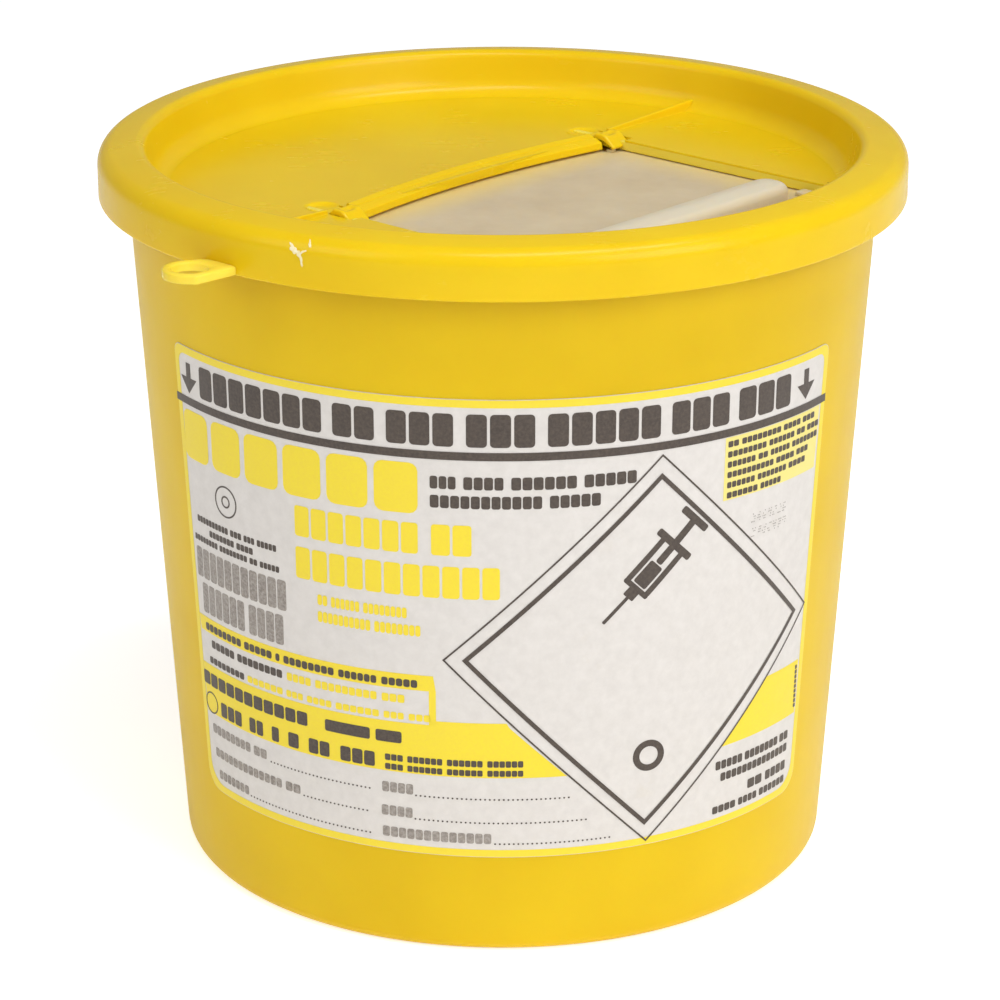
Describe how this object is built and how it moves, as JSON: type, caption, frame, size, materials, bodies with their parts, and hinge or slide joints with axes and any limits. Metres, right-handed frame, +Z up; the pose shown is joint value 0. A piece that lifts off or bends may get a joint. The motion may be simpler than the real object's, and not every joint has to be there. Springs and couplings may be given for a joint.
{
  "type": "sharps container",
  "caption": "Round tapered sharps tub with a wrapped front label, a press-on lid with a recessed deck, and a translucent sliding door with sprung locking catches.",
  "frame": {"origin": "centre of the base, on the plane that the container stands on", "axes": "+Z up, -Y towards the label at the front, +X to the right seen from the front"},
  "size_m": [0.1884, 0.1884, 0.1729],
  "materials": {
    "yellow_plastic": "satin moulded polypropylene",
    "lid_plastic": "glossy moulded polypropylene",
    "door_plastic": "translucent natural polypropylene",
    "label_film": "printed semi-gloss self-adhesive film"
  },
  "bodies": {
    "container": {"container_tub": "yellow_plastic", "front_label": "label_film"},
    "lid": {"lid": "lid_plastic"},
    "door": {"sliding_door": "door_plastic"},
    "catch_near": {"catch_near": "lid_plastic"},
    "catch_far": {"catch_far": "lid_plastic"}
  },
  "joints": [
    {"name": "lid_lift", "type": "slide", "parent": "container", "child": "lid", "axis": [0, 0, 1], "range_m": [0, 0.03]},
    {"name": "door_slide", "type": "slide", "parent": "lid", "child": "door", "axis": [0.7431, -0.6691, 0], "range_m": [-0.052, 0.003]},
    {"name": "catch_near_flex", "type": "hinge", "parent": "lid", "child": "catch_near", "pos_m": [-0.03951, -0.02565, 0.1615], "axis": [-0.6691, -0.7431, 0], "range_deg": [0, 8], "stiffness_Nm_per_rad": 0.02},
    {"name": "catch_far_flex", "type": "hinge", "parent": "lid", "child": "catch_far", "pos_m": [0.02138, 0.04198, 0.1615], "axis": [-0.6691, -0.7431, 0], "range_deg": [0, 8], "stiffness_Nm_per_rad": 0.02}
  ]
}
